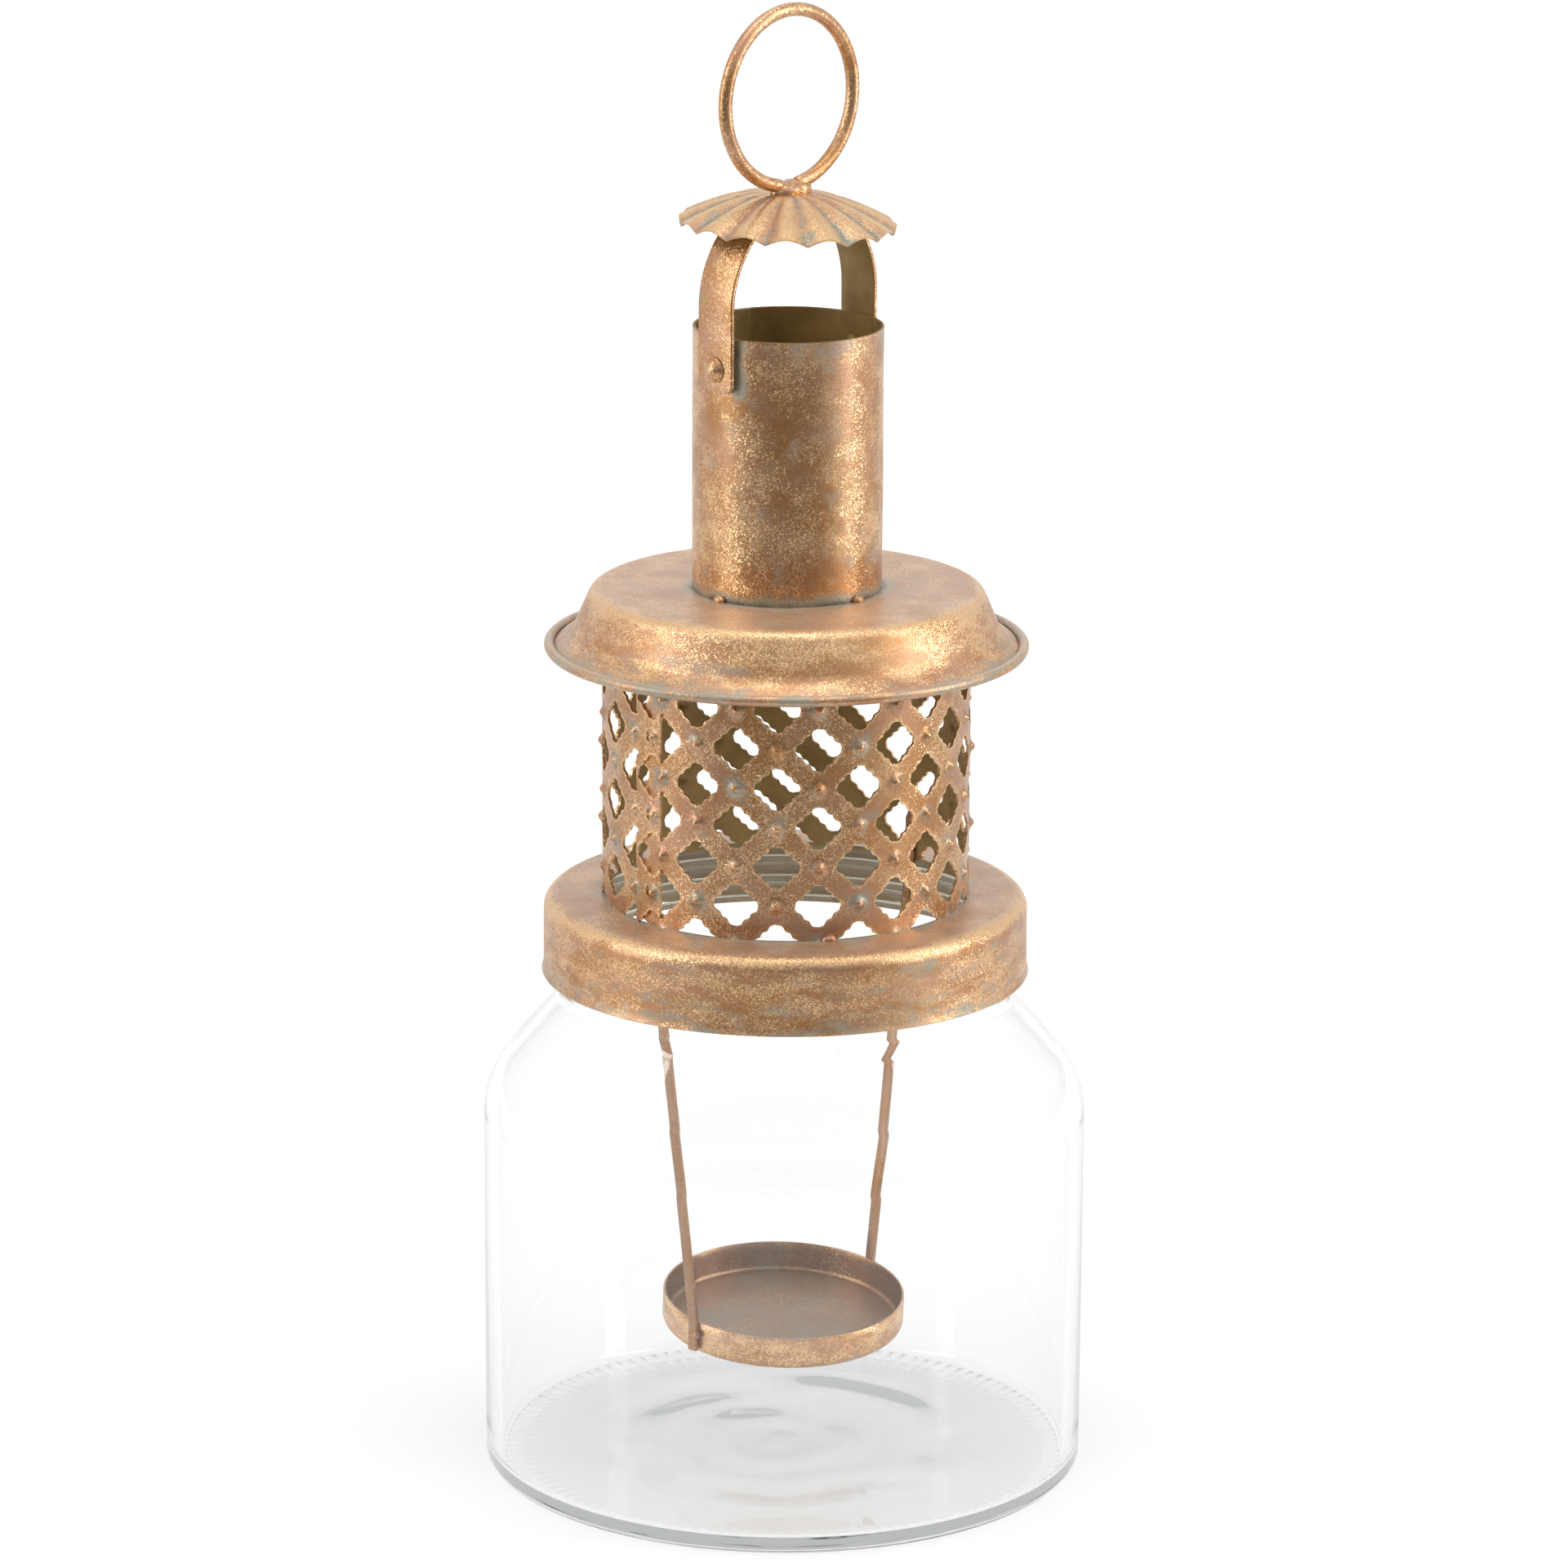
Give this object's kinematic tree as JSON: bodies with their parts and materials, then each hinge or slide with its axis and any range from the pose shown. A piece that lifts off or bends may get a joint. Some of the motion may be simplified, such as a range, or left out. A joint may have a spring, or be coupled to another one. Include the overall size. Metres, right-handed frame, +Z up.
{
  "type": "mason jar lantern",
  "caption": "Clear shouldered glass jar under a slip-over metal lid with a perforated band, canopy, chimney, swinging bail with ring, and a pan hung inside for a tealight.",
  "frame": {"origin": "middle of the jar's foot, on the surface it stands on", "axes": "+Z up along the jar's and chimney's axis; +X along the rivets' axis, with the bail and ring in the XZ plane"},
  "size_m": [0.11, 0.11, 0.2703],
  "materials": {
    "clear_glass": "clear soda-lime glass, faint green-grey edges",
    "antique_gold": "sheet steel with distressed gold leaf over copper brown, grey-green patches",
    "pan_gold": "dull brown-gold painted steel",
    "solder": "painted-over solder, rough"
  },
  "bodies": {
    "jar": {"glass_jar": "clear_glass"},
    "lid": {"cap_shell": "antique_gold", "lattice_band": "antique_gold", "band_tacks": "solder", "canopy": "antique_gold", "chimney_tube": "antique_gold", "chimney_tacks": "solder", "bail_rivets": "antique_gold", "hanger_left": "antique_gold", "hanger_right": "antique_gold", "hanger_tacks": "solder", "tealight_pan": "pan_gold"},
    "bail": {"bail_strap": "antique_gold", "fluted_cap": "antique_gold", "hang_ring": "antique_gold", "ring_braze": "solder"}
  },
  "joints": [
    {"name": "lid_lift", "type": "slide", "parent": "jar", "child": "lid", "axis": [0, 0, 1], "range_m": [0, 0.12]},
    {"name": "bail_swing", "type": "hinge", "parent": "lid", "child": "bail", "pos_m": [0, 0, 0.2069], "axis": [1, 0, 0], "range_deg": [-100, 100]}
  ]
}
